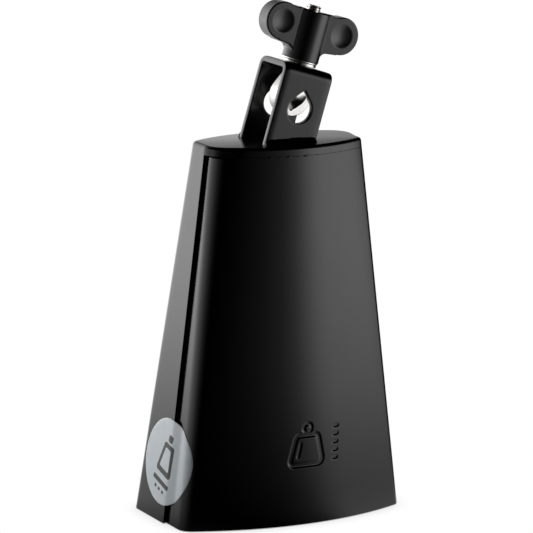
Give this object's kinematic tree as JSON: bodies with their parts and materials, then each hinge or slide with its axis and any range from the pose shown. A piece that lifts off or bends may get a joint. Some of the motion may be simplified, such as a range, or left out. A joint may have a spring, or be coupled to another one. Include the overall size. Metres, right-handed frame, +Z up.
{
  "type": "cowbell",
  "caption": "Pressed steel cowbell with a leaning clamp bracket on its crown; a wing handle draws up an eyebolt that grips a round stand rod.",
  "frame": {"origin": "middle of the bell's mouth, on the floor it stands on", "axes": "+Z up from mouth to crown, +X to the right seen from the front, -Y towards the front face"},
  "size_m": [0.137, 0.0804, 0.2778],
  "materials": {
    "black_coat": "satin",
    "weld_steel": "satin",
    "nickel_plate": "polished",
    "moulded_plastic": "fine texture",
    "label_film": "matt printed film"
  },
  "bodies": {
    "bell": {"rear_shell": "black_coat", "front_shell": "black_coat", "seam_welds": "weld_steel", "crown_welds": "weld_steel", "mount_bracket": "black_coat", "foot_welds": "black_coat", "round_label": "label_film"},
    "eye": {"eyebolt": "nickel_plate"},
    "washer": {"flat_washer": "nickel_plate"},
    "handle": {"wing_handle": "moulded_plastic", "threaded_insert": "nickel_plate"}
  },
  "joints": [
    {"name": "handle_turn", "type": "hinge", "parent": "bell", "child": "handle", "pos_m": [-0.0004, 0, 0.203], "axis": [0.2704, 0, 0.9627], "range_deg": [-100, 1700]},
    {"name": "eye_slide", "type": "slide", "parent": "bell", "child": "eye", "axis": [0.2704, 0, 0.9627], "range_m": [-0.00595, 0.0004]},
    {"name": "washer_turn", "type": "hinge", "parent": "bell", "child": "washer", "pos_m": [-0.0004, 0, 0.203], "axis": [0.2704, 0, 0.9627], "continuous": true}
  ],
  "couplings": [
    {"joint": "eye_slide", "follows": "handle_turn", "m_per_rad": -0.00019894}
  ]
}
